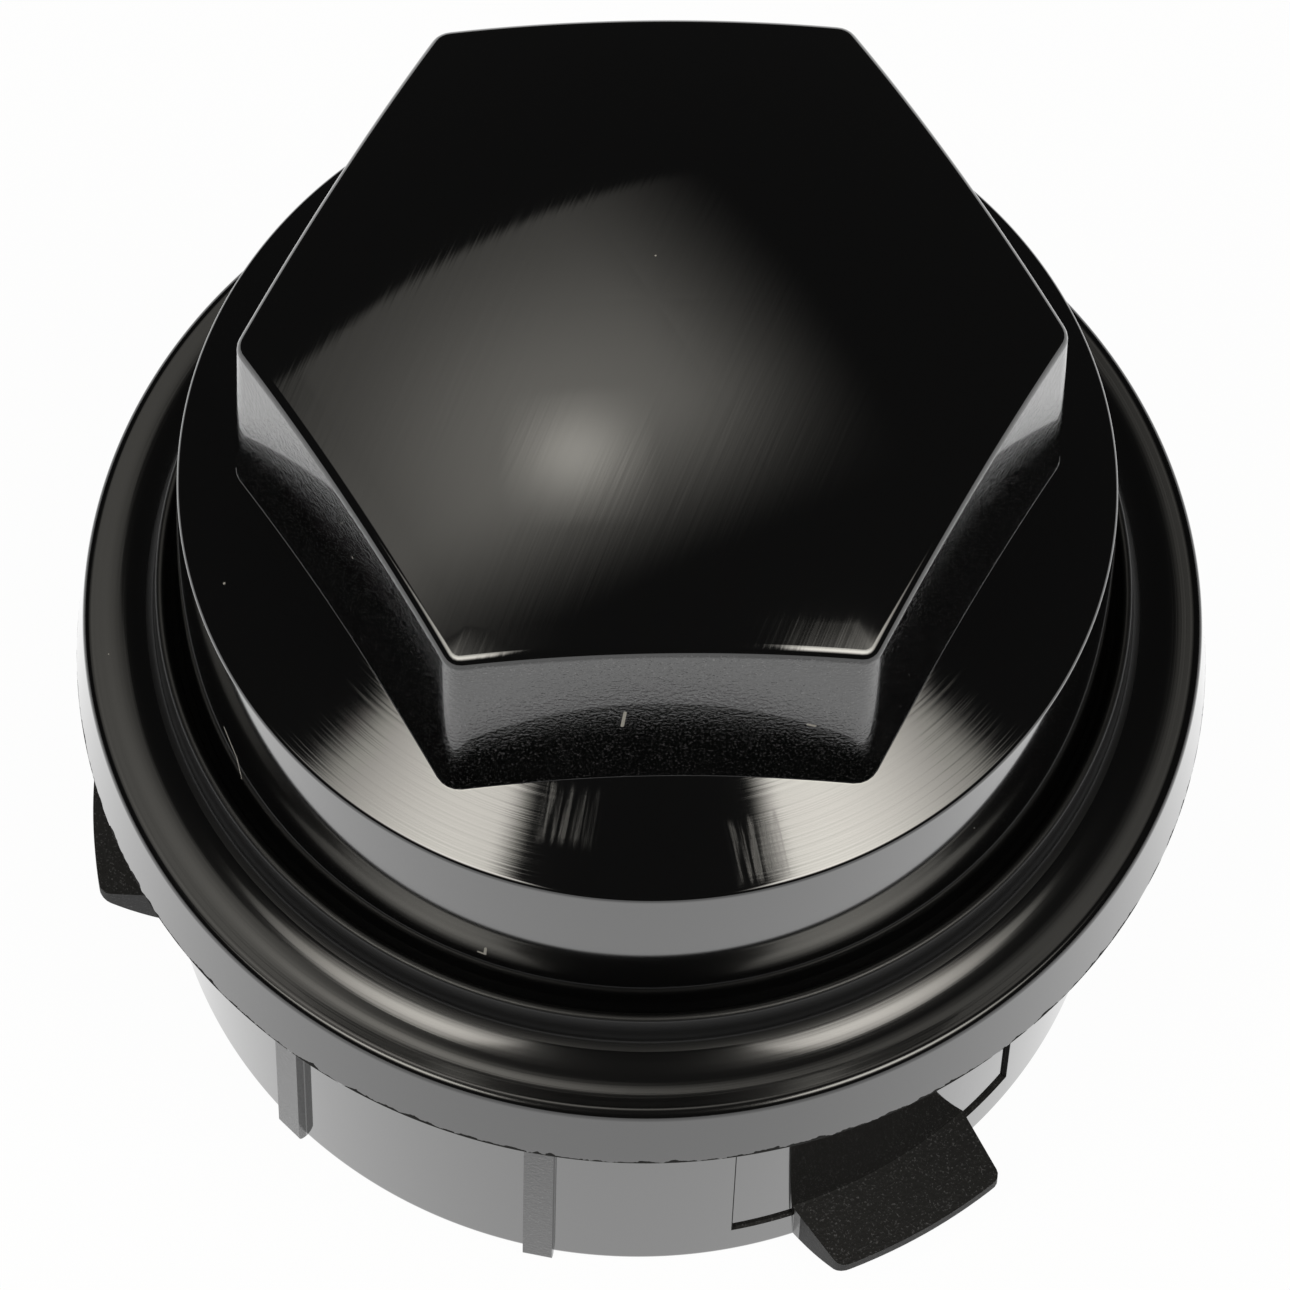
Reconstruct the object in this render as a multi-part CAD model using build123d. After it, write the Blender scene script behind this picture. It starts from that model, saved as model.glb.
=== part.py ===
# Wheel nut cover cap: one moulded piece of black plastic.
#
# A hexagonal head with a crowned top stands on a round shoulder. Below the shoulder a flange with a
# rounded bead covers the edge of the hole in the wheel trim, and a skirt with three snap tabs passes
# through that hole. The skirt is bored to screw onto the end of a wheel nut.
#
# Millimetres. The origin is on the axis in the plane of the skirt's mouth, with +Z towards the head.
# The hexagon has a corner on +X.

from build123d import *
from math import cos, hypot, radians, tan
import os

# Hexagonal head
hex_across_flats = 22.0       # at the foot, its widest
hex_draft = 1.5               # degrees, the sides lean in upwards
hex_corner_radius = 0.9       # at the foot
hex_edge_fillet = 0.4
hex_foot_fillet = 0.2
head_height = 11.09           # from the shoulder's edge to the top of the crown
crown_radius = 32.3

# Round shoulder under the head
shoulder_radius = 14.42       # at its top edge
shoulder_height = 6.68        # from the top of the bead to the edge
shoulder_draft = 2.4          # degrees, the wall widens downwards
shoulder_slope = 24.5         # degrees, the top falls outwards
shoulder_edge_fillet = 0.2

# Flange with its bead
flange_radius = 17.95         # at the underside, its widest
flange_wall_height = 2.88
flange_draft = 6.5            # degrees, the wall narrows upwards
flange_rim_fillet = 0.3
rim_land_width = 0.27         # flat ring between the rim and the cove
bead_height = 1.99            # of the bead's crest above the land
bead_share = 0.15             # width of the bead's crest, as a share of the room for the bead and the cove
bead_crest_rise = 0.4         # rise of the round crest, as a share of its width
bead_lean = 0.05              # lean of the bead's outer wall, as a share of the cove's width
bead_foot_share = 0.2         # fillet between the bead's wall and the cove, as a share of the smaller one
bead_groove_width = 0.3       # between the bead and the shoulder
bead_groove_depth = 0.4
cove_slope = 22.0             # degrees, slope of a straight line across the cove
cove_hollow = 0.103           # depth of the cove below that line, as a share of its width

# Skirt below the flange
skirt_radius = 15.43
skirt_height = 13.38
skirt_edge_fillet = 0.25

# Snap tabs, spaced evenly round the skirt
tab_count = 3
tab_first_angle = 60.0        # degrees from +X, under a corner of the hexagon
tab_top = 2.2                 # height of the catch face above the mouth
tab_reach = 2.42              # beyond the skirt
tab_root_width = 6.45
tab_tip_width = 6.1
tab_tip_thickness = 0.45
tab_corner_radius = 0.3
tab_ramp_bulge = 0.2
tab_ramp_start = 0.3          # height of the ramp's lower end above the mouth

# Shallow recess in the skirt behind each tab
recess_depth = 0.12
recess_half_angle = 19.8      # degrees
recess_below_tab = 0.5        # from the catch face down to the ledge

# Guide ribs, in pairs midway between the tabs
rib_width = 0.96
rib_height = 0.32
rib_half_spacing = 17.0       # degrees

# Inside
thread_minor_radius = 12.42   # M27 x 2 internal thread, bored at its minor diameter
thread_length = 12.3
mouth_chamfer = 0.6
room_step = 0.4               # the room above the thread is narrower, so that a core can unscrew
room_fillet = 0.6
shoulder_wall = 1.6           # from the shoulder's edge down to the top of the room
head_wall = 2.2               # beside the flats
crown_wall = 2.8              # under the top of the crown

# Heights of the main levels above the mouth
land_z = skirt_height + flange_wall_height
bead_top_z = land_z + bead_height
shoulder_edge_z = bead_top_z + shoulder_height
crown_top_z = shoulder_edge_z + head_height

# Radii that follow from the draft of the walls
shoulder_foot_radius = shoulder_radius + shoulder_height * tan(radians(shoulder_draft))
rim_radius = flange_radius - flange_wall_height * tan(radians(flange_draft))

# The bead and the cove outside it fill the flange between the groove and the land.
# The rim's fillet takes no more than half of that room.
bead_inner_radius = shoulder_foot_radius + bead_groove_width
flange_room = rim_radius - rim_land_width - bead_inner_radius
rim_fillet = min(flange_rim_fillet, flange_room / 2)
cove_outer_radius = rim_radius - rim_land_width - rim_fillet
bead_width = bead_share * (cove_outer_radius - bead_inner_radius)
bead_outer_radius = bead_inner_radius + bead_width
bead_edge_z = bead_top_z - bead_crest_rise * bead_width
cove_width = cove_outer_radius - bead_outer_radius
cove_inner_radius = bead_outer_radius + bead_lean * cove_width
cove_top_z = land_z + (cove_outer_radius - cove_inner_radius) * tan(radians(cove_slope))
bead_foot_fillet = bead_foot_share * min(cove_width, bead_edge_z - cove_top_z)

hex_apothem = hex_across_flats / 2
hex_corner_reach = hex_apothem / cos(radians(30))

# Room above the thread and the hollow of the head
room_radius = thread_minor_radius - room_step
room_top_z = shoulder_edge_z - shoulder_wall
head_room_radius = hex_apothem - head_wall
head_room_top_z = crown_top_z - crown_wall

tab_angles = [tab_first_angle + 360 / tab_count * index for index in range(tab_count)]
rib_angles = [
    angle + 180 / tab_count + side * rib_half_spacing
    for angle in tab_angles
    for side in (-1, 1)
]


def shoulder_top_z(radius):
    """Height of the sloping top of the shoulder at a radius."""
    return shoulder_edge_z + (shoulder_radius - radius) * tan(radians(shoulder_slope))


def turned_body():
    """Skirt, flange, cove, bead and shoulder, as one turned solid without its bore."""
    core_radius = hex_apothem / 2
    groove_radius = shoulder_foot_radius + bead_groove_width / 2
    slope_corner = (core_radius, shoulder_top_z(core_radius))
    with BuildPart() as body:
        with BuildSketch(Plane.XZ):
            with BuildLine():
                Polyline(
                    (0, 0),
                    (skirt_radius, 0),
                    (skirt_radius, skirt_height),
                    (flange_radius, skirt_height),
                    (rim_radius, land_z),
                    (cove_outer_radius, land_z),
                )
                SagittaArc(
                    (cove_outer_radius, land_z),
                    (cove_inner_radius, cove_top_z),
                    cove_hollow * cove_width,
                )
                Line((cove_inner_radius, cove_top_z), (bead_outer_radius, bead_edge_z))
                SagittaArc(
                    (bead_outer_radius, bead_edge_z),
                    (bead_inner_radius, bead_edge_z),
                    -bead_crest_rise * bead_width,
                )
                Polyline(
                    (bead_inner_radius, bead_edge_z),
                    (groove_radius, bead_top_z - bead_groove_depth),
                    (shoulder_foot_radius, bead_top_z),
                    (shoulder_radius, shoulder_edge_z),
                    slope_corner,
                    (0, slope_corner[1]),
                    (0, 0),
                )
            make_face()
        revolve(axis=Axis.Z)
        fillet(circles_at(body, skirt_radius, 0), skirt_edge_fillet)
        fillet(circles_at(body, rim_radius, land_z), rim_fillet)
        fillet(circles_at(body, cove_inner_radius, cove_top_z), bead_foot_fillet)
        fillet(circles_at(body, shoulder_radius, shoulder_edge_z), shoulder_edge_fillet)
    return body.part


def circles_at(builder, radius, height):
    """Edges of a turned solid that run round the axis at a radius and a height."""
    near = 1e-3
    return [
        edge
        for edge in builder.edges().filter_by(GeomType.CIRCLE)
        if abs(edge.radius - radius) < near and abs(edge.arc_center.Z - height) < near
    ]


def hex_head():
    """Hexagonal head with rounded corners, cut by the crown and softened along its top edge."""
    root_z = shoulder_top_z(hex_corner_reach) - shoulder_wall / 2
    root_apothem = hex_apothem + (shoulder_top_z(hex_apothem) - root_z) * tan(radians(hex_draft))
    with BuildPart() as head:
        with BuildSketch(Plane.XY.offset(root_z)) as section:
            RegularPolygon(root_apothem, 6, major_radius=False)
            fillet(section.vertices(), hex_corner_radius)
        extrude(amount=crown_top_z - root_z, taper=hex_draft)
        with Locations((0, 0, crown_top_z - crown_radius)):
            Sphere(crown_radius, mode=Mode.INTERSECT)
        crown_face = head.faces().filter_by(GeomType.SPHERE)[0]
        fillet(crown_face.edges(), hex_edge_fillet)
    return head.part


def inside():
    """The hollow: mouth chamfer, thread bore, room above the thread and hollow of the head."""
    mouth_radius = thread_minor_radius + mouth_chamfer
    with BuildPart() as hollow:
        with BuildSketch(Plane.XZ):
            with BuildLine():
                Polyline(
                    (0, 0),
                    (mouth_radius, 0),
                    (thread_minor_radius, mouth_chamfer),
                    (thread_minor_radius, mouth_chamfer + thread_length),
                    (room_radius, mouth_chamfer + thread_length + room_step),
                    (room_radius, room_top_z),
                    (head_room_radius, room_top_z),
                    (head_room_radius, head_room_top_z),
                    (0, head_room_top_z),
                    (0, 0),
                )
            make_face()
        revolve(axis=Axis.Z)
        fillet(circles_at(hollow, room_radius, room_top_z), room_fillet)
        fillet(circles_at(hollow, head_room_radius, head_room_top_z), room_fillet)
    return hollow.part


def recess(angle):
    """Shallow panel sunk into the skirt about one tab, up to the flange."""
    ledge_z = tab_top - recess_below_tab
    outside = skirt_radius + tab_reach
    with BuildPart() as panel:
        with BuildSketch(Plane.XY.offset(ledge_z)):
            with BuildLine():
                start = angle - recess_half_angle
                inner = CenterArc((0, 0), skirt_radius - recess_depth, start, 2 * recess_half_angle)
                outer = CenterArc((0, 0), outside, start, 2 * recess_half_angle)
                Line(inner @ 0, outer @ 0)
                Line(inner @ 1, outer @ 1)
            make_face()
        extrude(amount=skirt_height - ledge_z)
    return panel.part


def snap_tab(angle):
    """Wedge with a flat catch face on top, an arc-shaped tip and a ramp underneath."""
    tip_radius = skirt_radius + tab_reach
    root_radius = skirt_radius - 4 * recess_depth
    tip_bottom_z = tab_top - tab_tip_thickness
    slant = (tab_root_width - tab_tip_width) / 2 / tab_reach
    root_half = tab_root_width / 2 + slant * (skirt_radius - root_radius)
    far_radius = tip_radius + tab_reach
    far_half = tab_root_width / 2 - slant * (far_radius - skirt_radius)
    with BuildPart() as tab:
        with BuildSketch() as plan:
            Polygon(
                (root_radius, -root_half),
                (far_radius, -far_half),
                (far_radius, far_half),
                (root_radius, root_half),
                align=None,
            )
            Circle(tip_radius, mode=Mode.INTERSECT)
            fillet(plan.vertices().group_by(Axis.X)[-1], tab_corner_radius)
        extrude(amount=tab_top)
        with BuildSketch(Plane.XZ):
            with BuildLine():
                ramp = SagittaArc(
                    (skirt_radius, tab_ramp_start),
                    (tip_radius, tip_bottom_z),
                    -tab_ramp_bulge,
                )
                Polyline(
                    ramp @ 1,
                    (far_radius, tip_bottom_z),
                    (far_radius, -tab_top),
                    (root_radius, -tab_top),
                    (root_radius, tab_ramp_start),
                    ramp @ 0,
                )
            make_face()
        revolve(axis=Axis.Z, mode=Mode.SUBTRACT)
    return tab.part.rotate(Axis.Z, angle)


def guide_rib(angle):
    """Low rib down the skirt, rounded off at the mouth."""
    root_radius = skirt_radius - rib_height
    crest_radius = skirt_radius + rib_height
    with BuildPart() as rib:
        with BuildSketch(Plane.XZ):
            with BuildLine():
                foot = CenterArc((skirt_radius, rib_height), rib_height, 270, 90)
                Polyline(
                    foot @ 1,
                    (crest_radius, skirt_height),
                    (root_radius, skirt_height),
                    (root_radius, 0),
                    foot @ 0,
                )
            make_face()
        extrude(amount=rib_width / 2, both=True)
    return rib.part.rotate(Axis.Z, angle)


def cover_cap():
    """The whole moulding."""
    with BuildPart() as cap:
        add(turned_body())
        add(hex_head())
        fillet(foot_edges(cap), hex_foot_fillet)
        for angle in tab_angles:
            add(recess(angle), mode=Mode.SUBTRACT)
        for angle in tab_angles:
            add(snap_tab(angle))
        for angle in rib_angles:
            add(guide_rib(angle))
        add(inside(), mode=Mode.SUBTRACT)
    return cap.part


def foot_edges(builder):
    """Edges where the sides of the hexagon meet the sloping top of the shoulder."""
    slope = [face for face in builder.faces().filter_by(GeomType.CONE) if is_shoulder_top(face)][0]
    return [edge for edge in slope.edges() if hypot(edge.center().X, edge.center().Y) < hex_corner_reach]


def is_shoulder_top(face):
    """True for the cone that lies between the shoulder's edge and the head."""
    middle = (shoulder_edge_z + shoulder_top_z(hex_apothem)) / 2
    return abs(face.bounding_box().center().Z - middle) < shoulder_edge_fillet


os.makedirs("parts", exist_ok=True)
export_step(cover_cap(), "parts/nut_cover_cap.step")
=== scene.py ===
# Wheel nut cover cap: the finished look of the moulding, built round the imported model.
#
# The cap is one closed mesh. Its turned body and hexagonal head are rings of points that follow the
# cap's section from the hollow, round the mouth and up to the crown. Geometry Nodes then cut the
# recesses and the thread, and join the snap tabs and the guide ribs.

from math import cos, pi, radians, sin, sqrt, tan
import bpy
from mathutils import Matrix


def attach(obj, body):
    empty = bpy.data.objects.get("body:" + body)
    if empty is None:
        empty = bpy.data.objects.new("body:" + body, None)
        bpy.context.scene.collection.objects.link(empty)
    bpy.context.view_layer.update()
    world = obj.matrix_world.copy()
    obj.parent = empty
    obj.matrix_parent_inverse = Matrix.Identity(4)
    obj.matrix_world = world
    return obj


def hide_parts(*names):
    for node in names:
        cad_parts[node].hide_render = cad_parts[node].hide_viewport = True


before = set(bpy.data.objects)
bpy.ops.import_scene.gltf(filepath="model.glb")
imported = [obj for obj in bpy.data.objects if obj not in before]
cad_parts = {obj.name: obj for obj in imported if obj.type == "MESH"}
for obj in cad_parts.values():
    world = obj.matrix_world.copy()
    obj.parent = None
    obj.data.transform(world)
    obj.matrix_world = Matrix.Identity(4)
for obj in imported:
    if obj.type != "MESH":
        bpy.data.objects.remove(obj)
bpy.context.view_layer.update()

from types import SimpleNamespace

import bpy
import numpy as np
from bpy.props import FloatProperty, FloatVectorProperty, IntProperty, PointerProperty
from mathutils import Matrix, Vector

bl_info = {
    "name": "Wheel nut cover cap",
    "version": (1, 0, 0),
    "blender": (4, 5, 0),
    "location": "View3D > Sidebar > Nut cap",
    "description": "Builds a moulded cover cap for a wheel nut, with its finish and its stage",
    "category": "Object",
}

MM = 0.001
UP = np.array([0.0, 0.0, 1.0])
CAP_NODE = "nut_cover_cap"
CAP_NAME = "moulded_cap"
MATERIAL_NAME = "black gloss plastic"

# Fineness of the mesh
RING_POINTS = 360
FILLET_STEPS = 6
COVE_STEPS = 20
CREST_STEPS = 12
WALL_RINGS = 5                # up the hexagon's sides
CROWN_RINGS = 15              # from the crown's edge to its middle
THREAD_STEPS = 72             # in one turn
MEETING_ROUNDS = 8            # that bring the hexagon's sides to the shoulder and the crown
COVE_PART = 0.9               # share of the cove that lies before the fillet at the bead's foot
SUPPORT_GAP = 0.04 * MM       # from a fillet to the line of points that keeps its neighbour flat
SHARP_ANGLE = radians(32)     # an edge that turns by more is shaded as a sharp one

# Section of the thread's groove, as shares of the pitch
GROOVE_MOUTH = 0.96
GROOVE_ROOT = 0.25

# Limits that tell the faces of the moulding apart
UPRIGHT_LIMIT = 0.3           # an upright face's direction rises or falls by less
LEVEL_LIMIT = 0.6             # a level face's direction rises by more
EDGE_GAP = 0.05 * MM          # by which a finish passes an edge or stops before it
RIB_GAP = 0.02 * MM           # past the crest of a rib
SKIRT_GAP = 0.03 * MM         # past the skirt

# Marks on the plastic
PATCH_SIZE = 3 * MM           # of the cloudy patches that vary the gloss and the marks
PATCH_ROUGHNESS = 0.03        # difference between the dullest and the glossiest patch
STREAK_TURN = radians(-24)    # of the polishing streaks on the crown
STREAK_STRETCH = 25           # length of a streak, in widths
SCRATCH_WIDTH = 0.2 * MM
SCRATCH_STRETCH = 20          # length of a scratch, in widths
SCRATCH_LIMITS = (0.42, 0.68)  # of the pattern, between no scratch and a full one
SCRATCH_FADE = 0.6            # share of a rubbed place within which its scratches are strong
DUST_SPACING = 1.9 * MM
DUST_SIZE = 0.022             # as a share of the spacing
DUST_SHARE = 0.3              # share of the places that hold a speck
FIBRE_HALF_WIDTH = 0.05 * MM
LIGHT_GRAIN_SIZE = 0.07 * MM
LIGHT_GRAIN_LIMITS = (0.58, 0.72)  # of the pattern, between a dark grain and a light one

# Rubbed places on the shoulder: middle, turn of the scratches, half length and half width
RUBBED_PLACES = (
    ((-2.66 * MM, -11.98 * MM), radians(-102.5), 0.95 * MM, 1.0 * MM),
    ((2.95 * MM, -12.95 * MM), radians(-77.0), 1.0 * MM, 0.9 * MM),
)

# Ends of the fibres on the shoulder's wall and on the front of the hexagon, in millimetres
FIBRE_ENDS = (
    ((-13.10, -6.44, 20.98), (-12.72, -7.16, 20.40)),
    ((-12.72, -7.16, 20.40), (-12.56, -7.45, 19.53)),
    ((-5.21, -13.69, 20.20), (-5.23, -13.68, 19.80)),
    ((-5.23, -13.68, 19.80), (-5.43, -13.61, 19.81)),
    ((-1.05, -10.89, 30.55), (-1.12, -10.91, 29.70)),
    ((4.38, -10.91, 29.62), (4.59, -10.92, 29.52)),
)

# Lamps overhead; places and sizes are for one metre of height
LAMPS = (
    dict(
        name="softbox_right",
        middle=(0.692, -0.663),
        size=(0.85, 1.1),
        turn=radians(6),
        brightness=10.0,
        hot=(0.45, -0.52),
        reach=0.36,
        base=0.05,
        borders=(0.1, 0.2, 0.1, 0.06),
    ),
    dict(
        name="softbox_left",
        middle=(-0.711, -0.654),
        size=(0.85, 1.1),
        turn=radians(-8),
        brightness=9.0,
        hot=(-0.46, -0.50),
        reach=0.34,
        base=0.05,
        borders=(0.2, 0.1, 0.1, 0.06),
    ),
    dict(
        name="overhead_panel",
        middle=(-0.14, 0.36),
        size=(1.12, 0.94),
        turn=radians(26),
        brightness=1.5,
        hot=(-0.13, 0.18),
        reach=0.38,
        base=0.27,
        borders=(0.1, 0.38, 0.35, 0.05),
    ),
    dict(
        name="overhead_glow",
        middle=(-0.12, 0.17),
        size=(0.3, 0.3),
        turn=0.0,
        brightness=1.8,
        hot=(-0.12, 0.17),
        reach=0.09,
        base=0.0,
        borders=(0.1, 0.1, 0.1, 0.1),
        drop=0.02,
    ),
)


def length(name, description, millimetres):
    """A size in the sidebar, given here in millimetres."""
    return FloatProperty(
        name=name,
        description=description,
        default=millimetres * MM,
        unit="LENGTH",
        precision=5,
    )


def angle(name, description, degrees):
    """An angle in the sidebar, given here in degrees."""
    return FloatProperty(name=name, description=description, default=radians(degrees), unit="ROTATION")


def share(name, description, value):
    """A plain number in the sidebar."""
    return FloatProperty(name=name, description=description, default=value, precision=3)


def tint(name, description, value):
    """A colour in the sidebar."""
    return FloatVectorProperty(
        name=name,
        description=description,
        default=value,
        subtype="COLOR",
        min=0.0,
        max=1.0,
    )


class CapHeadSizes(bpy.types.PropertyGroup):
    """Hexagonal head and the round shoulder under it."""

    across_flats: length("Across flats", "Hexagon at its foot, where it is widest", 22.0)
    draft: angle("Draft", "Lean of the hexagon's sides", 1.5)
    corner_radius: length("Corner radius", "Rounding of the hexagon's corners at the root", 0.9)
    edge_fillet: length("Top edge", "Fillet between the sides and the crown", 0.4)
    foot_fillet: length("Foot", "Fillet between the sides and the shoulder", 0.03)
    height: length("Height", "From the shoulder's edge to the top of the crown", 11.09)
    crown_radius: length("Crown radius", "Ball that the top follows", 32.3)
    shoulder_radius: length("Shoulder radius", "At the shoulder's top edge", 14.42)
    shoulder_height: length("Shoulder height", "From the bead's crest to the edge", 6.68)
    shoulder_draft: angle("Shoulder draft", "Lean of the shoulder's wall", 2.4)
    shoulder_slope: angle("Shoulder slope", "Fall of the shoulder's top", 24.5)
    shoulder_fillet: length("Shoulder edge", "Fillet along the shoulder's edge", 0.2)


class CapFlangeSizes(bpy.types.PropertyGroup):
    """Flange with its bead and the cove outside it."""

    radius: length("Radius", "Flange at its underside", 17.95)
    wall_height: length("Wall height", "Outer wall of the flange", 2.88)
    draft: angle("Draft", "Lean of the outer wall", 6.5)
    rim_fillet: length("Rim", "Fillet along the upper rim", 0.3)
    flash_edge: length("Lower edge", "Rounding of the lower edge", 0.1)
    land_width: length("Land", "Flat ring between the rim and the cove", 0.27)
    bead_height: length("Bead height", "Crest of the bead above the land", 1.99)
    bead_width: length("Bead width", "Round crest of the bead", 0.308)
    bead_crest_rise: share("Bead crest", "Rise of the round crest, as a share of its width", 0.4)
    bead_lean: share("Bead lean", "Lean of the bead's wall, as a share of the cove's width", 0.05)
    bead_foot: length("Bead foot", "Fillet between the bead's wall and the cove", 0.24)
    cove_slope: angle("Cove slope", "Slope of a straight line across the cove", 22.0)
    cove_hollow: share("Cove hollow", "Hollow below that line, as a share of the cove's width", 0.103)
    groove_width: length("Groove width", "Between the bead and the shoulder", 0.3)
    groove_depth: length("Groove depth", "Below the bead's crest", 0.4)


class CapSkirtSizes(bpy.types.PropertyGroup):
    """Skirt with its snap tabs, recesses and guide ribs."""

    radius: length("Radius", "Outside of the skirt", 15.43)
    height: length("Height", "From the mouth to the flange", 13.38)
    edge_fillet: length("Mouth edge", "Fillet along the outer edge of the mouth", 0.25)
    tab_count: IntProperty(name="Tabs", description="Snap tabs round the skirt", default=3)
    tab_first_angle: angle("First tab", "From the hexagon's corner on +X", 60.0)
    tab_top: length("Tab top", "Height of the catch face above the mouth", 2.2)
    tab_reach: length("Tab reach", "Beyond the skirt", 2.42)
    tab_root_width: length("Tab root", "Width at the skirt", 6.45)
    tab_tip_width: length("Tab tip", "Width at the tip", 6.1)
    tab_tip_thickness: length("Tip thickness", "Height of the tip's edge", 0.45)
    tab_corner_radius: length("Tip corners", "Rounding of the tip's corners", 0.3)
    tab_ramp_bulge: length("Ramp bulge", "Swell of the ramp beyond a straight line", 0.2)
    tab_ramp_start: length("Ramp start", "Lower end of the ramp above the mouth", 0.3)
    recess_depth: length("Recess depth", "Panel behind each tab", 0.12)
    recess_half_angle: angle("Recess half angle", "Half of the panel's spread", 19.8)
    recess_below_tab: length("Recess ledge", "From the catch face down to the ledge", 0.5)
    rib_width: length("Rib width", "Guide rib", 0.96)
    rib_height: length("Rib height", "Beyond the skirt", 0.32)
    rib_half_spacing: angle("Rib half spacing", "Half of the angle between a pair", 17.0)


class CapInsideSizes(bpy.types.PropertyGroup):
    """Thread and hollow."""

    minor_radius: length("Minor radius", "Bore of the thread", 12.42)
    root_radius: length("Root radius", "Root of the thread's groove", 13.068)
    pitch: length("Pitch", "Rise of the thread in one turn", 2.0)
    thread_length: length("Thread length", "Bored length", 12.3)
    mouth_chamfer: length("Mouth chamfer", "At the start of the thread", 0.6)
    room_step: length("Room step", "The room above the thread is narrower", 0.4)
    room_fillet: length("Room fillet", "In the corners of the hollow", 0.6)
    shoulder_wall: length("Shoulder wall", "Above the room", 1.6)
    head_wall: length("Head wall", "Beside the flats", 2.2)
    crown_wall: length("Crown wall", "Under the top", 2.8)


class CapFinish(bpy.types.PropertyGroup):
    """Colour and surface of the plastic."""

    colour: tint("Plastic", "Colour of the moulded plastic", (0.002, 0.002, 0.0021))
    dust_colour: tint("Dust", "Colour of the few dust specks", (0.3, 0.29, 0.27))
    grain_colour: tint("Grains", "Light grains on the hexagon's sides and the tabs", (0.08, 0.08, 0.085))
    refraction: share("Refraction", "Index of refraction of the plastic and its skin", 1.5)
    gloss_roughness: share("Gloss", "Roughness of the polished faces", 0.06)
    coat_roughness: share("Skin", "Roughness of the glassy skin of the moulding", 0.035)
    spark_roughness: share("Spark", "Roughness of the hexagon's sides", 0.08)
    bead_roughness: share("Bead", "Roughness of the flange's bead and cove", 0.17)
    crest_roughness: share("Crest", "Roughness of the bead's crest and wall", 0.38)
    rib_roughness: share("Ribs", "Roughness of the guide ribs", 0.3)
    matte_roughness: share("Matte", "Roughness of the snap tabs", 0.65)
    scratch_roughness: share("Scratches", "Roughness of the rubbed places", 0.4)
    spark_grain: length("Spark grain", "Size of the grain on the hexagon's sides", 0.14)
    spark_height: length("Spark height", "Depth of that grain", 0.016)
    matte_grain: length("Matte grain", "Size of the grain on the tabs and the ribs", 0.14)
    matte_height: length("Matte height", "Depth of that grain", 0.014)
    ring_spacing: length("Turning marks", "Spacing of the fine rings on the shoulder and the flange", 0.12)
    ring_height: length("Turning height", "Depth of those rings", 0.008)
    streak_width: length("Polish streaks", "Width of the fine streaks on the crown", 0.22)
    streak_height: length("Polish height", "Depth of those streaks", 0.006)
    flash_size: length("Edge line", "Size of the bends in the dark line at the flange's lower edge", 0.7)
    flash_rise: length("Edge line rise", "Height over which that line wanders", 0.7)
    flash_drop: length("Edge line drop", "Start of that height below the flange's lower edge", 0.17)
    recess_line: angle("Recess line", "Half width of the dark line beside a recess", 0.12)


class CapStage(bpy.types.PropertyGroup):
    """Camera, floor and lamps."""

    camera_distance: length("Distance", "From the camera to its aim", 278.0)
    camera_azimuth: angle("Azimuth", "Turn of the camera from the front", -3.40)
    camera_elevation: angle("Elevation", "Height of the camera over the horizon", 63.0)
    camera_roll: angle("Roll", "Turn of the frame", 2.18)
    camera_lens: FloatProperty(name="Lens", description="Focal length", default=246.6, unit="CAMERA")
    camera_aim: FloatVectorProperty(
        name="Aim",
        description="Point that the camera looks at",
        subtype="TRANSLATION",
        default=(0.03 * MM, -1.32 * MM, 16.10 * MM),
        precision=5,
    )
    floor_colour: tint("Floor", "Colour of the floor", (0.9, 0.9, 0.9))
    lamp_colour: tint("Lamps", "Tint of every lamp", (1.0, 0.965, 0.88))
    room_colour: tint("Room", "Colour of the dim room round the stage", (0.03, 0.03, 0.03))
    floor_white: share("Floor white", "Share of the floor's look that is plain white, without shadow", 0.97)
    floor_radius: length("Floor radius", "Round floor", 900.0)
    lamp_height: length("Lamp height", "Of the lamps over the floor", 600.0)


def cap_levels(scene):
    """Heights and radii that follow from the driving sizes."""
    head = scene.cap_head
    flange = scene.cap_flange
    skirt = scene.cap_skirt
    inside = scene.cap_inside
    level = SimpleNamespace()
    level.land_z = skirt.height + flange.wall_height
    level.bead_top_z = level.land_z + flange.bead_height
    level.shoulder_edge_z = level.bead_top_z + head.shoulder_height
    level.crown_top_z = level.shoulder_edge_z + head.height
    level.shoulder_foot_radius = head.shoulder_radius + head.shoulder_height * tan(head.shoulder_draft)
    level.rim_radius = flange.radius - flange.wall_height * tan(flange.draft)
    level.bead_inner_radius = level.shoulder_foot_radius + flange.groove_width
    level.bead_outer_radius = level.bead_inner_radius + flange.bead_width
    level.cove_outer_radius = level.rim_radius - flange.land_width - flange.rim_fillet
    level.cove_width = level.cove_outer_radius - level.bead_outer_radius
    level.cove_inner_radius = level.bead_outer_radius + flange.bead_lean * level.cove_width
    cove_reach = level.cove_outer_radius - level.cove_inner_radius
    level.cove_top_z = level.land_z + cove_reach * tan(flange.cove_slope)
    level.thread_end_z = inside.mouth_chamfer + inside.thread_length
    level.room_radius = inside.minor_radius - inside.room_step
    level.room_top_z = level.shoulder_edge_z - inside.shoulder_wall
    level.head_room_radius = head.across_flats / 2 - inside.head_wall
    level.head_room_top_z = level.crown_top_z - inside.crown_wall
    return level


def unit(vectors):
    """The same directions with length one."""
    return vectors / np.linalg.norm(vectors, axis=-1, keepdims=True)


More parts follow.
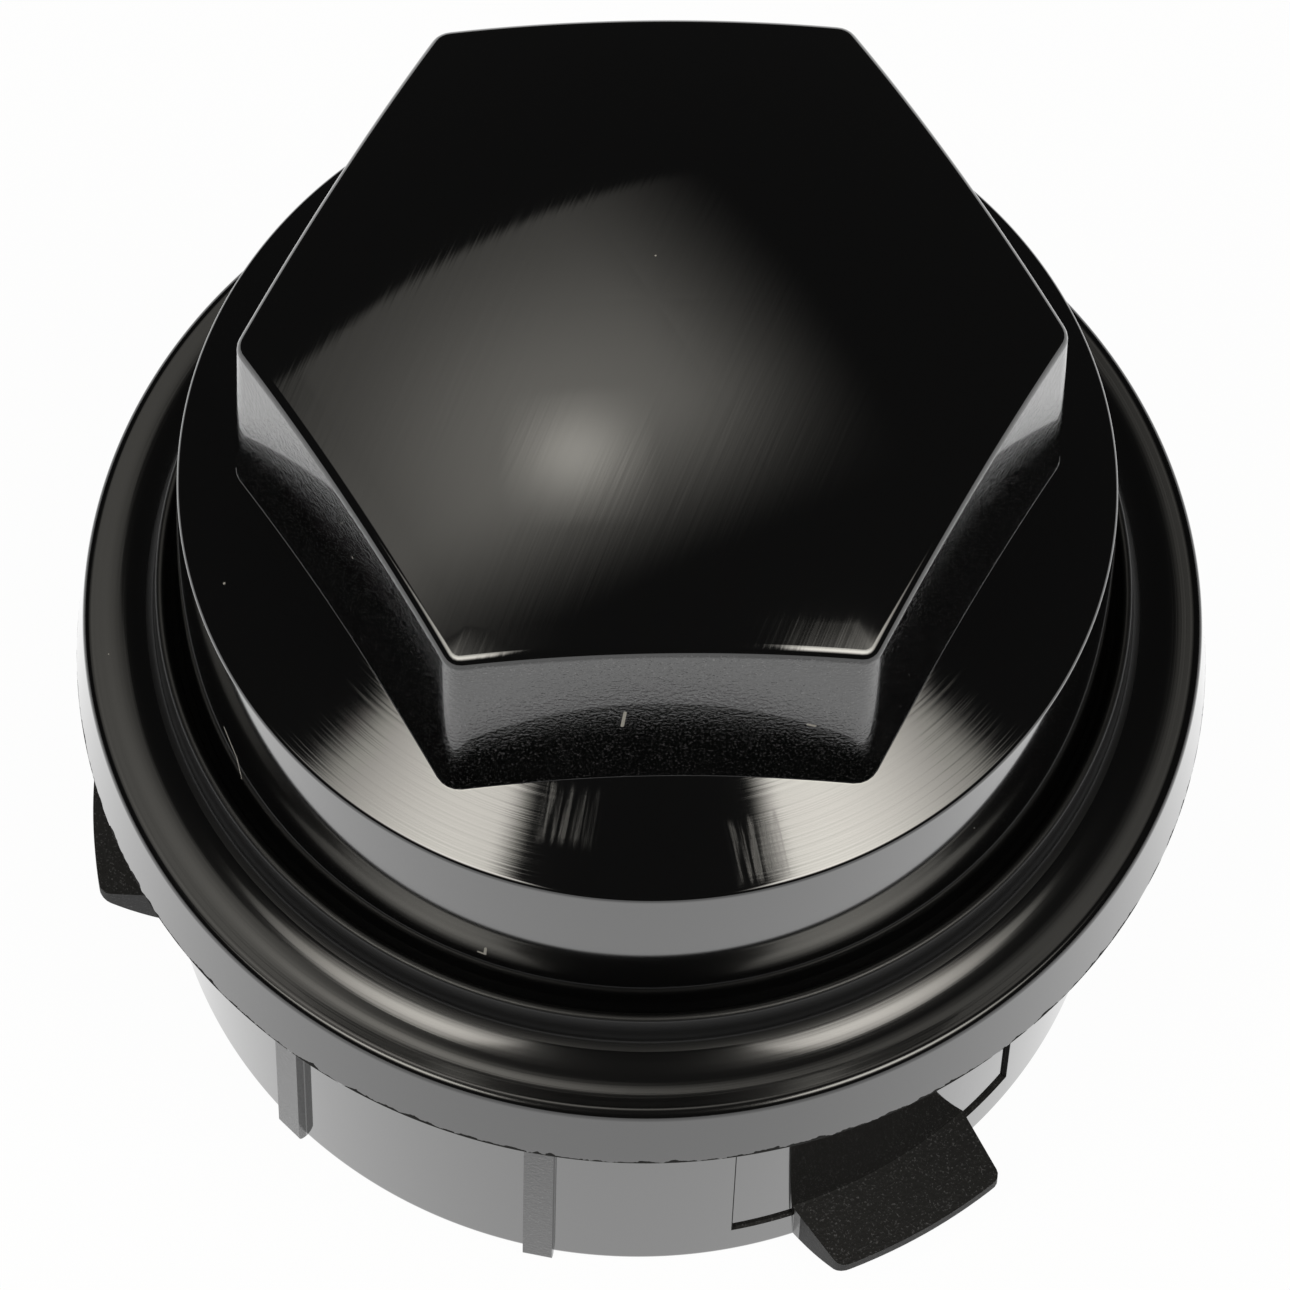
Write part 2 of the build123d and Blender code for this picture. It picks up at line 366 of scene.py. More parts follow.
def fillet_points(corner, along_first, along_last, radius, steps=FILLET_STEPS):
    """Points of an arc that rounds a corner between two directions that leave it."""
    middle = unit(along_first + along_last)
    half_angle = np.arccos(np.clip(np.sum(along_first * middle, axis=-1, keepdims=True), -1, 1))
    tangent = radius / np.tan(half_angle)
    centre = corner + middle * radius / np.sin(half_angle)
    first = (corner + along_first * tangent - centre) / radius
    last = (corner + along_last * tangent - centre) / radius
    swing = np.arccos(np.clip(np.sum(first * last, axis=-1, keepdims=True), -1, 1))
    points = []
    for step in range(steps + 1):
        part = step / steps
        spoke = (first * np.sin((1 - part) * swing) + last * np.sin(part * swing)) / np.sin(swing)
        points.append(centre + spoke * radius)
    return points


def section_line(corners):
    """Section through turned walls: corners of radius, height and fillet, with fillets and supports.

    A point whose fillet is None lies on a curve and is taken as it is.
    """
    points = [np.array(corner[:2]) for corner in corners]
    line = [points[0]]
    for index in range(1, len(corners) - 1):
        radius = corners[index][2]
        if radius is None:
            line.append(points[index])
            continue
        back = unit(points[index - 1] - points[index])
        ahead = unit(points[index + 1] - points[index])
        if radius > 0:
            arc = fillet_points(points[index], back, ahead, radius)
        else:
            arc = [points[index]]
        line.append(arc[0] + back * SUPPORT_GAP)
        line.extend(arc)
        line.append(arc[-1] + ahead * SUPPORT_GAP)
    line.append(points[-1])
    return line


def round_points(start, end, sagitta, steps, last=1.0):
    """Points of a circular arc, up to a share of its length.

    A positive sagitta bulges to the right of the way from start to end.
    """
    start = np.array(start)
    end = np.array(end)
    half = np.linalg.norm(end - start) / 2
    radius = (half ** 2 + sagitta ** 2) / (2 * sagitta)
    along = unit(end - start)
    aside = np.array([along[1], -along[0]])
    centre = (start + end) / 2 + aside * (sagitta - radius)
    swing = np.arcsin(half / radius)
    points = []
    for step in range(steps + 1):
        turn = swing * (2 * last * step / steps - 1)
        point = centre + radius * (along * np.sin(turn) + aside * np.cos(turn))
        points.append((point[0], point[1], None))
    return points


def turned_section(scene, level):
    """Section from the hollow's ceiling, round the mouth, to the shoulder's top beside the hexagon."""
    head = scene.cap_head
    flange = scene.cap_flange
    skirt = scene.cap_skirt
    inside = scene.cap_inside
    groove_radius = level.shoulder_foot_radius + flange.groove_width / 2
    slope_end = head.across_flats / 2 / cos(pi / 6) + 2 * head.foot_fillet
    slope_end_z = shoulder_top_z(head, level, slope_end)
    cove_end = (level.cove_inner_radius, level.cove_top_z)
    cove = round_points(
        (level.cove_outer_radius, level.land_z),
        cove_end,
        -flange.cove_hollow * level.cove_width,
        COVE_STEPS,
        last=COVE_PART,
    )
    crest_rise = flange.bead_crest_rise * flange.bead_width
    crest_edge_z = level.bead_top_z - crest_rise
    crest = round_points(
        (level.bead_outer_radius, crest_edge_z),
        (level.bead_inner_radius, crest_edge_z),
        crest_rise,
        CREST_STEPS,
    )
    corners = [
        (inside.room_fillet, level.head_room_top_z, 0),
        (level.head_room_radius, level.head_room_top_z, inside.room_fillet),
        (level.head_room_radius, level.room_top_z, 0),
        (level.room_radius, level.room_top_z, inside.room_fillet),
        (level.room_radius, level.thread_end_z + inside.room_step, 0),
        (inside.minor_radius, level.thread_end_z, 0),
        (inside.minor_radius, inside.mouth_chamfer, 0),
        (inside.minor_radius + inside.mouth_chamfer, 0, 0),
        (skirt.radius, 0, skirt.edge_fillet),
        (skirt.radius, skirt.height, 0),
        (flange.radius, skirt.height, flange.flash_edge),
        (level.rim_radius, level.land_z, flange.rim_fillet),
    ]
    corners += cove
    corners += [(*cove_end, flange.bead_foot)]
    corners += crest
    corners += [
        (groove_radius, level.bead_top_z - flange.groove_depth, 0),
        (level.shoulder_foot_radius, level.bead_top_z, 0),
        (head.shoulder_radius, level.shoulder_edge_z, head.shoulder_fillet),
        (slope_end, slope_end_z, 0),
    ]
    return section_line(corners)


def shoulder_top_z(head, level, radius):
    """Height of the sloping top of the shoulder at a radius."""
    return level.shoulder_edge_z + (head.shoulder_radius - radius) * tan(head.shoulder_slope)


def ring_turns():
    """Angles of the points in every ring."""
    return np.arange(RING_POINTS) * 2 * pi / RING_POINTS


def turned_ring(radius, height):
    """Round ring of points."""
    turns = ring_turns()
    return np.stack([radius * np.cos(turns), radius * np.sin(turns), np.full(RING_POINTS, height)], axis=1)


def rounded_hexagon(apothem, corner_radius):
    """Points and outward directions of a hexagon with round corners, one corner on +X."""
    turns = ring_turns()
    face = np.floor(turns / (pi / 3)) * pi / 3 + pi / 6
    lean = turns - face
    flat_half = (apothem - corner_radius) * tan(pi / 6)
    on_flat = apothem * np.abs(np.tan(lean)) <= flat_half
    corner_turn = face + np.sign(lean) * pi / 6
    corner_reach = (apothem - corner_radius) / cos(pi / 6)
    off_corner = pi / 6 - np.abs(lean)
    chord = np.sqrt(np.maximum(corner_radius**2 - (corner_reach * np.sin(off_corner)) ** 2, 0))
    arc_reach = corner_reach * np.cos(off_corner) + chord
    reach = np.where(on_flat, apothem / np.cos(lean), arc_reach)
    points = reach[:, None] * np.stack([np.cos(turns), np.sin(turns)], axis=1)
    centres = corner_reach * np.stack([np.cos(corner_turn), np.sin(corner_turn)], axis=1)
    flat_out = np.stack([np.cos(face), np.sin(face)], axis=1)
    arc_out = (points - centres) / corner_radius
    outwards = np.where(on_flat[:, None], flat_out, arc_out)
    return points, unit(outwards)


def head_rings(scene, level):
    """Rings of the hexagonal head, from the shoulder's top to the crown's middle."""
    head = scene.cap_head
    slope_fall = tan(head.shoulder_slope)
    lean = tan(head.draft)
    apothem = head.across_flats / 2
    root_z = shoulder_top_z(head, level, apothem / cos(pi / 6)) - scene.cap_inside.shoulder_wall / 2
    root_apothem = apothem + (shoulder_top_z(head, level, apothem) - root_z) * lean
    root, outwards = rounded_hexagon(root_apothem, head.corner_radius)
    out = np.column_stack([outwards, np.zeros(RING_POINTS)])
    ball_z = level.crown_top_z - head.crown_radius

    def wall_at(height):
        """Points of the leaning sides at one height for each direction."""
        plan = root - outwards * ((height - root_z) * lean)[:, None]
        return np.column_stack([plan, height])

    def crown_z(plan):
        """Height of the crown over a point in plan."""
        return ball_z + np.sqrt(head.crown_radius**2 - np.sum(plan**2, axis=1))

    foot = np.full(RING_POINTS, root_z)
    top = np.full(RING_POINTS, level.crown_top_z)
    for _ in range(MEETING_ROUNDS):
        foot = shoulder_top_z(head, level, np.linalg.norm(wall_at(foot)[:, :2], axis=1))
        top = crown_z(wall_at(top)[:, :2])
    foot_points = wall_at(foot)
    top_points = wall_at(top)

    wall_up = unit(UP - out * lean)
    foot_facing = np.sum(unit(foot_points[:, :2]) * outwards, axis=1)[:, None]
    down_slope = unit(out - UP * slope_fall * foot_facing)
    top_run = np.sum(top_points[:, :2] * outwards, axis=1)[:, None]
    crown_in = unit(UP * top_run / (top[:, None] - ball_z) - out)

    foot_arc = fillet_points(foot_points, down_slope, wall_up, head.foot_fillet)
    top_arc = fillet_points(top_points, -wall_up, crown_in, head.edge_fillet)
    rings = [foot_arc[0] + down_slope * SUPPORT_GAP]
    rings += foot_arc
    low = foot_arc[-1] + wall_up * SUPPORT_GAP
    high = top_arc[0] - wall_up * SUPPORT_GAP
    rings += [low + (high - low) * part for part in np.linspace(0, 1, WALL_RINGS)]
    rings += top_arc
    for scale in np.linspace(1, 0, CROWN_RINGS + 1)[:-1]:
        inset = scale if scale < 1 else 1 - SUPPORT_GAP / apothem
        plan = top_arc[-1][:, :2] * inset
        rings.append(np.column_stack([plan, crown_z(plan)]))
    return rings


def slope_rings(scene, level, first, last, steps=4):
    """Rings on the shoulder's top between its round part and the hexagon's foot."""
    rings = []
    for step in range(1, steps):
        plan = first[:, :2] + (last[:, :2] - first[:, :2]) * step / steps
        height = shoulder_top_z(scene.cap_head, level, np.linalg.norm(plan, axis=1))
        rings.append(np.column_stack([plan, height]))
    return rings


def closed_mesh(name, rings, first_pole, last_pole):
    """Mesh through rings of points, closed by a point at each end."""
    count = len(rings)
    vertices = np.vstack(rings + [[first_pole], [last_pole]])
    faces = []
    for around in range(RING_POINTS):
        beside = (around + 1) % RING_POINTS
        faces.append((count * RING_POINTS, beside, around))
        top = (count - 1) * RING_POINTS
        faces.append((top + around, top + beside, count * RING_POINTS + 1))
        for ring in range(count - 1):
            low = ring * RING_POINTS
            high = low + RING_POINTS
            faces.append((low + around, low + beside, high + beside, high + around))
    mesh = bpy.data.meshes.new(name)
    mesh.from_pydata(vertices.tolist(), [], faces)
    mesh.validate()
    mesh.update()
    return mesh


def new_object(name, mesh):
    """Object for a mesh, linked to the scene."""
    made = bpy.data.objects.new(name, mesh)
    bpy.context.scene.collection.objects.link(made)
    return made


class CAP_OT_body(bpy.types.Operator):
    """Make the turned body with its hexagonal head and its hollow"""

    bl_idname = "cap.body"
    bl_label = "Turned body and head"

    def execute(self, context):
        scene = context.scene
        level = cap_levels(scene)
        rings = [turned_ring(radius, height) for radius, height in turned_section(scene, level)]
        head = head_rings(scene, level)
        rings += slope_rings(scene, level, rings[-1], head[0])
        rings += head
        ceiling = (0.0, 0.0, level.head_room_top_z)
        summit = (0.0, 0.0, level.crown_top_z)
        new_object(CAP_NAME, closed_mesh(CAP_NAME, rings, ceiling, summit))
        return {"FINISHED"}


def prism(name, outline_low, outline_high):
    """Closed solid between two outlines with the same number of points, which run anticlockwise."""
    count = len(outline_low)
    vertices = list(outline_low) + list(outline_high)
    faces = [tuple(reversed(range(count))), tuple(range(count, 2 * count))]
    for index in range(count):
        beside = (index + 1) % count
        faces.append((index, beside, count + beside, count + index))
    mesh = bpy.data.meshes.new(name)
    mesh.from_pydata([tuple(vertex) for vertex in vertices], [], faces)
    mesh.update()
    return mesh


def tab_mesh(skirt, across=24, along=12):
    """Snap tab on +X: flat catch face, round tip and a ramp below."""
    tip_radius = skirt.radius + skirt.tab_reach
    root_radius = skirt.radius - 4 * skirt.recess_depth
    slant = (skirt.tab_root_width - skirt.tab_tip_width) / 2 / skirt.tab_reach
    tip_bottom = skirt.tab_top - skirt.tab_tip_thickness
    corner = skirt.tab_corner_radius

    def half_width(radius):
        return skirt.tab_root_width / 2 - slant * (radius - skirt.radius)

    def tip_at(offset):
        """Reach of the tip at a distance from the tab's middle."""
        past = max(abs(offset) - (half_width(tip_radius) - corner), 0.0)
        return sqrt(tip_radius**2 - offset**2) - corner + sqrt(max(corner**2 - past**2, 0.0))

    def ramp_z(radius):
        """Height of the underside."""
        part = min(max((radius - skirt.radius) / skirt.tab_reach, 0.0), 1.0)
        straight = skirt.tab_ramp_start + (tip_bottom - skirt.tab_ramp_start) * part
        return straight - skirt.tab_ramp_bulge * 4 * part * (1 - part)

    upper = []
    lower = []
    for column in range(across + 1):
        side = -cos(pi * column / across)
        tip = tip_at(side * half_width(tip_radius))
        for row in range(along + 1):
            x = root_radius + (tip - root_radius) * row / along
            y = side * half_width(x)
            upper.append((x, y, skirt.tab_top))
            lower.append((x, y, ramp_z(sqrt(x * x + y * y))))
    stride = along + 1
    below = len(upper)
    faces = []
    for column in range(across):
        for row in range(along):
            corner_index = column * stride + row
            quad = (corner_index, corner_index + 1, corner_index + stride + 1, corner_index + stride)
            faces.append(quad)
            faces.append(tuple(below + index for index in reversed(quad)))
    border = list(range(stride))
    border += [column * stride + along for column in range(1, across + 1)]
    border += [across * stride + row for row in range(along - 1, -1, -1)]
    border += [column * stride for column in range(across - 1, 0, -1)]
    for index, start in enumerate(border):
        end = border[(index + 1) % len(border)]
        faces.append((below + start, below + end, end, start))
    mesh = bpy.data.meshes.new("snap_tab")
    mesh.from_pydata(upper + lower, [], faces)
    mesh.update()
    return mesh


def rib_mesh(skirt, steps=6):
    """Guide rib on +X, rounded off just above the mouth and let into the flange."""
    root_radius = skirt.radius - skirt.rib_height
    crest_radius = skirt.radius + skirt.rib_height
    lift = skirt.edge_fillet / 10
    top = skirt.height + skirt.rib_height
    profile = [(root_radius, lift)]
    for step in range(steps + 1):
        turn = -pi / 2 + pi / 2 * step / steps
        x = skirt.radius + skirt.rib_height * cos(turn)
        profile.append((x, lift + skirt.rib_height * (1 + sin(turn))))
    profile += [(crest_radius, top), (root_radius, top)]
    half = skirt.rib_width / 2
    near = [(x, half, z) for x, z in profile]
    far = [(x, -half, z) for x, z in profile]
    return prism("guide_rib", near, far)


def recess_mesh(skirt, steps=48):
    """Cutter on +X for the shallow panel behind a tab, which ends just below the flange."""
    inner = skirt.radius - skirt.recess_depth
    outer = skirt.radius + skirt.tab_reach
    turns = [skirt.recess_half_angle * (2 * step / steps - 1) for step in range(steps + 1)]
    plan = [(outer * cos(turn), outer * sin(turn)) for turn in turns]
    plan += [(inner * cos(turn), inner * sin(turn)) for turn in reversed(turns)]
    ledge = skirt.tab_top - skirt.recess_below_tab
    ceiling = skirt.height - skirt.recess_depth / 20
    return prism("recess_cutter", [(x, y, ledge) for x, y in plan], [(x, y, ceiling) for x, y in plan])


class NodeTree:
    """Small helper that adds nodes and links to a node tree."""

    def __init__(self, tree):
        self.tree = tree

    def add(self, kind, inputs=None, **settings):
        """Node with its settings, and its inputs set or linked by name or number."""
        node = self.tree.nodes.new(kind)
        for key, value in settings.items():
            setattr(node, key, value)
        for key, value in (inputs or {}).items():
            self.feed(node.inputs[key], value)
        return node

    def feed(self, socket, value):
        """Links a socket to another node's output, or sets its value."""
        if isinstance(value, bpy.types.NodeSocket):
            self.tree.links.new(value, socket)
        else:
            socket.default_value = value

    def math(self, operation, first, second=0.0, third=0.0):
        """Output of a Math node."""
        node = self.add("ShaderNodeMath", {0: first, 1: second, 2: third}, operation=operation)
        return node.outputs[0]


def skirt_tree():
    """Node tree that cuts the recesses and the thread, and joins the tabs and the ribs."""
    tree = bpy.data.node_groups.new("Skirt fittings", "GeometryNodeTree")
    face = tree.interface
    face.new_socket("Geometry", in_out="INPUT", socket_type="NodeSocketGeometry")
    for name in ("Tab", "Rib", "Recess"):
        face.new_socket(name, in_out="INPUT", socket_type="NodeSocketObject")
    face.new_socket("Tab count", in_out="INPUT", socket_type="NodeSocketInt")
    angles = ("First tab angle", "Rib half spacing")
    thread_sizes = ("Bore radius", "Thread depth", "Pitch", "Thread length")
    for name in angles + thread_sizes:
        face.new_socket(name, in_out="INPUT", socket_type="NodeSocketFloat")
    face.new_socket("Material", in_out="INPUT", socket_type="NodeSocketMaterial")
    face.new_socket("Geometry", in_out="OUTPUT", socket_type="NodeSocketGeometry")
    kit = NodeTree(tree)
    given = tree.nodes.new("NodeGroupInput").outputs
    index = kit.add("GeometryNodeInputIndex").outputs[0]
    sector = kit.math("DIVIDE", 2 * pi, given["Tab count"])
    tab_turn = kit.math("MULTIPLY_ADD", index, sector, given["First tab angle"])

    def spread(part, count, turn):
        """Copies of a part about the axis."""
        points = kit.add("GeometryNodePoints", {"Count": count})
        shape = kit.add("GeometryNodeObjectInfo", {"Object": part})
        axis = kit.add("FunctionNodeAxisAngleToRotation", {"Axis": (0.0, 0.0, 1.0), "Angle": turn})
        placed = kit.add("GeometryNodeInstanceOnPoints", {
            "Points": points.outputs[0],
            "Instance": shape.outputs["Geometry"],
            "Rotation": axis.outputs[0],
        })
        return kit.add("GeometryNodeRealizeInstances", {"Geometry": placed.outputs[0]}).outputs[0]

    tabs = spread(given["Tab"], given["Tab count"], tab_turn)
    recesses = spread(given["Recess"], given["Tab count"], tab_turn)
    pair = kit.math("FLOOR", kit.math("DIVIDE", index, 2.0))
    pair_turn = kit.math("MULTIPLY_ADD", kit.math("ADD", pair, 0.5), sector, given["First tab angle"])
    side = kit.math("MULTIPLY_ADD", kit.math("MODULO", index, 2.0), 2.0, -1.0)
    rib_turn = kit.math("MULTIPLY_ADD", side, given["Rib half spacing"], pair_turn)
    ribs = spread(given["Rib"], kit.math("MULTIPLY", given["Tab count"], 2.0), rib_turn)
    thread = thread_cutter(kit, given)

    cut = kit.add("GeometryNodeMeshBoolean", {0: given["Geometry"], 1: recesses},
                  operation="DIFFERENCE", solver="MANIFOLD")
    joined = kit.add("GeometryNodeMeshBoolean", operation="UNION", solver="MANIFOLD")
    for part in (cut.outputs[0], tabs, ribs):
        tree.links.new(part, joined.inputs[1])
    threaded = kit.add("GeometryNodeMeshBoolean", {0: joined.outputs[0], 1: thread},
                       operation="DIFFERENCE", solver="MANIFOLD")
    whole = kit.add("GeometryNodeRealizeInstances", {"Geometry": threaded.outputs[0]})
    clad = kit.add("GeometryNodeSetMaterial", {"Geometry": whole.outputs[0], "Material": given["Material"]})
    end = tree.nodes.new("NodeGroupOutput")
    tree.links.new(clad.outputs[0], end.inputs[0])
    return tree


def thread_cutter(kit, given):
    """Right-hand spiral that cuts the thread into the bore.

    Its section is a trapezium, twice as high as the thread is deep, with its middle on the bore.
    """
    turns = kit.math("DIVIDE", given["Thread length"], given["Pitch"])
    spiral = kit.add("GeometryNodeCurveSpiral", {
        "Resolution": THREAD_STEPS,
        "Rotations": turns,
        "Start Radius": given["Bore radius"],
        "End Radius": given["Bore radius"],
        "Height": given["Thread length"],
        "Reverse": True,
    })
    upright = kit.add("GeometryNodeSetCurveNormal", {"Curve": spiral.outputs[0]}, mode="Z_UP")
    section = kit.add("GeometryNodeCurvePrimitiveQuadrilateral", {
        "Bottom Width": kit.math("MULTIPLY", given["Pitch"], GROOVE_MOUTH),
        "Top Width": kit.math("MULTIPLY", given["Pitch"], GROOVE_ROOT),
        "Height": kit.math("MULTIPLY", given["Thread depth"], 2.0),
        "Offset": 0.0,
    }, mode="TRAPEZOID")
    turned = kit.add("GeometryNodeTransform", {
        "Geometry": section.outputs[0],
        "Rotation": (0.0, 0.0, pi / 2),
    })
    swept = kit.add("GeometryNodeCurveToMesh", {
        "Curve": upright.outputs[0],
        "Profile Curve": turned.outputs[0],
        "Fill Caps": True,
    })
    return swept.outputs[0]


def set_tree_inputs(modifier, values):
    """Sets the inputs of a Geometry Nodes modifier by the identifiers of their sockets."""
    for item in modifier.node_group.interface.items_tree:
        if item.in_out == "INPUT" and item.name in values:
            modifier[item.identifier] = values[item.name]


def baked(source):
    """Plain mesh of an object after its modifiers."""
    graph = bpy.context.evaluated_depsgraph_get()
    return bpy.data.meshes.new_from_object(source.evaluated_get(graph))


class CAP_OT_skirt_fittings(bpy.types.Operator):
    """Cut the recesses and the thread, and join the snap tabs and the guide ribs"""

    bl_idname = "cap.skirt_fittings"
    bl_label = "Tabs, ribs, recesses and thread"

    def execute(self, context):
        scene = context.scene
        skirt = scene.cap_skirt
        inside = scene.cap_inside
        cap = bpy.data.objects[CAP_NAME]
        helpers = {
            "Tab": new_object("snap_tab", tab_mesh(skirt)),
            "Rib": new_object("guide_rib", rib_mesh(skirt)),
            "Recess": new_object("recess_cutter", recess_mesh(skirt)),
        }
        modifier = cap.modifiers.new("Skirt fittings", "NODES")
        modifier.node_group = skirt_tree()
        values = {
            "Tab count": skirt.tab_count,
            "First tab angle": skirt.tab_first_angle,
            "Rib half spacing": skirt.rib_half_spacing,
            "Bore radius": inside.minor_radius,
            "Thread depth": inside.root_radius - inside.minor_radius,
            "Pitch": inside.pitch,
            "Thread length": inside.thread_length,
            "Material": cap_material(scene),
        }
        set_tree_inputs(modifier, {**helpers, **values})
        finished = baked(cap)
        cap.modifiers.clear()
        cap.data = finished
        for helper in helpers.values():
            bpy.data.meshes.remove(helper.data)
        finished.shade_smooth()
        finished.set_sharp_from_angle(angle=SHARP_ANGLE)
        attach(cap, "root")
        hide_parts(CAP_NODE)
        return {"FINISHED"}


def noise(kit, vector, size, detail=2.0, roughness=0.6):
    """Value of a noise pattern with grains of about one size."""
    inputs = {"Vector": vector, "Scale": 1 / size, "Detail": detail, "Roughness": roughness}
    return kit.add("ShaderNodeTexNoise", inputs).outputs[0]


def vector_math(kit, operation, first, second):
    """Outputs of a Vector Math node."""
    return kit.add("ShaderNodeVectorMath", {0: first, 1: second}, operation=operation).outputs


def ramp(kit, value, start, end):
    """Value that climbs from nothing at the start to one at the end."""
    return kit.add("ShaderNodeMapRange", {"Value": value, "From Min": start, "From Max": end}).outputs[0]


def cap_zones(kit, scene, place):
    """Masks for the parts of the moulding that have a finish of their own."""
    level = cap_levels(scene)
    head = scene.cap_head
    flange = scene.cap_flange
    skirt = scene.cap_skirt
    finish = scene.cap_finish
    axes = kit.add("ShaderNodeSeparateXYZ", {0: place}).outputs
    normal = kit.add("ShaderNodeNewGeometry").outputs["Normal"]
    rise = kit.add("ShaderNodeSeparateXYZ", {0: normal}).outputs["Z"]
    flat = vector_math(kit, "MULTIPLY", place, (1.0, 1.0, 0.0))[0]
    radius = kit.add("ShaderNodeVectorMath", {0: flat}, operation="LENGTH").outputs["Value"]
    height = axes["Z"]

    def over(value, limit):
        return kit.math("GREATER_THAN", value, limit)

    def under(value, limit):
        return kit.math("LESS_THAN", value, limit)

    def both(first, second):
        return kit.math("MULTIPLY", first, second)

    def either(first, second):
        return kit.math("MAXIMUM", first, second)

    upright = under(kit.math("ABSOLUTE", rise), UPRIGHT_LIMIT)
    level_face = over(rise, LEVEL_LIMIT)
    below_flange = under(height, skirt.height - EDGE_GAP)
    outside = over(radius, skirt.radius - 2 * skirt.recess_depth)
    zone = SimpleNamespace()
    zone.radius = radius

    zone.spark = both(upright, over(height, level.shoulder_edge_z + head.shoulder_fillet))
    zone.crown = both(level_face, over(height, level.shoulder_edge_z + head.height / 2))

    above_land = over(height, level.land_z - flange.rim_fillet / 2)
    below_bead = under(height, level.bead_top_z + EDGE_GAP)
    past_groove = over(radius, level.shoulder_foot_radius + flange.groove_width / 2)
    zone.bead = both(both(above_land, below_bead), past_groove)
    zone.crest = both(zone.bead, under(radius, level.cove_inner_radius + flange.bead_foot))
    zone.turned = either(kit.math("SUBTRACT", level_face, zone.crown), zone.bead)

    tab_top = both(level_face, under(height, skirt.tab_top + EDGE_GAP))
    on_tab = either(tab_top, over(radius, skirt.radius + skirt.rib_height + RIB_GAP))
    zone.tab = both(both(on_tab, outside), below_flange)
    beyond_skirt = both(over(radius, skirt.radius + SKIRT_GAP), below_flange)
    zone.rib = either(kit.math("SUBTRACT", beyond_skirt, zone.tab), 0.0)

    above_seat = over(height, skirt.height - EDGE_GAP)
    on_wall = both(over(radius, skirt.radius + skirt.tab_reach / 2), above_seat)
    ragged = noise(kit, place, finish.flash_size, detail=4.0)
    edge_line = kit.math("MULTIPLY_ADD", ragged, finish.flash_rise, skirt.height - finish.flash_drop)
    flash = both(on_wall, under(height, edge_line))
    turn = kit.math("SUBTRACT", kit.math("ARCTAN2", axes["Y"], axes["X"]), skirt.tab_first_angle)
    from_tab = kit.math("PINGPONG", turn, pi / skirt.tab_count)
    from_edge = kit.math("ABSOLUTE", kit.math("SUBTRACT", from_tab, skirt.recess_half_angle))
    at_edge = both(under(from_edge, finish.recess_line), both(outside, below_flange))
    above_ledge = over(height, skirt.tab_top - skirt.recess_below_tab)
    zone.shade = either(flash, both(at_edge, above_ledge))
    return zone


def rubbed_place(kit, place, middle, turn, half_length, half_width):
    """Mask of a group of short scratches that run outwards from the axis."""
    local = kit.add("ShaderNodeMapping", {
        "Vector": place,
        "Location": (middle[0], middle[1], 0.0),
        "Rotation": (0.0, 0.0, turn),
    }, vector_type="TEXTURE").outputs[0]
    axes = kit.add("ShaderNodeSeparateXYZ", {0: local}).outputs
    along = kit.math("DIVIDE", axes["X"], half_length)
    across = kit.math("DIVIDE", axes["Y"], half_width)
    reach = kit.math("MAXIMUM", kit.math("ABSOLUTE", along), kit.math("ABSOLUTE", across))
    window = ramp(kit, reach, 1.0, SCRATCH_FADE)
    stretched = vector_math(kit, "MULTIPLY", local, (1 / SCRATCH_STRETCH, 1.0, 0.0))[0]
    worn = ramp(kit, noise(kit, stretched, SCRATCH_WIDTH), *SCRATCH_LIMITS)
    return kit.math("MULTIPLY", window, worn)


def dust_specks(kit, place):
    """Mask of a few small specks."""
    cells = kit.add("ShaderNodeTexVoronoi", {"Vector": place, "Scale": 1 / DUST_SPACING})
    near = kit.math("LESS_THAN", cells.outputs["Distance"], DUST_SIZE)
    draw = kit.add("ShaderNodeSeparateXYZ", {0: cells.outputs["Color"]}).outputs[0]
    return kit.math("MULTIPLY", near, kit.math("LESS_THAN", draw, DUST_SHARE))


def fibre(kit, place, start, end):
    """Mask of a thin fibre along a straight line between two places in millimetres."""
    start = Vector(start) * MM
    along = Vector(end) * MM - start
    offset = vector_math(kit, "SUBTRACT", place, start)[0]
    share_along = vector_math(kit, "DOT_PRODUCT", offset, along / along.length_squared)["Value"]
    held = kit.add("ShaderNodeClamp", {"Value": share_along}).outputs[0]
    foot = kit.add("ShaderNodeVectorMath", {0: along, "Scale": held}, operation="SCALE").outputs[0]
    gap = vector_math(kit, "DISTANCE", offset, foot)["Value"]
    return kit.math("LESS_THAN", gap, FIBRE_HALF_WIDTH)


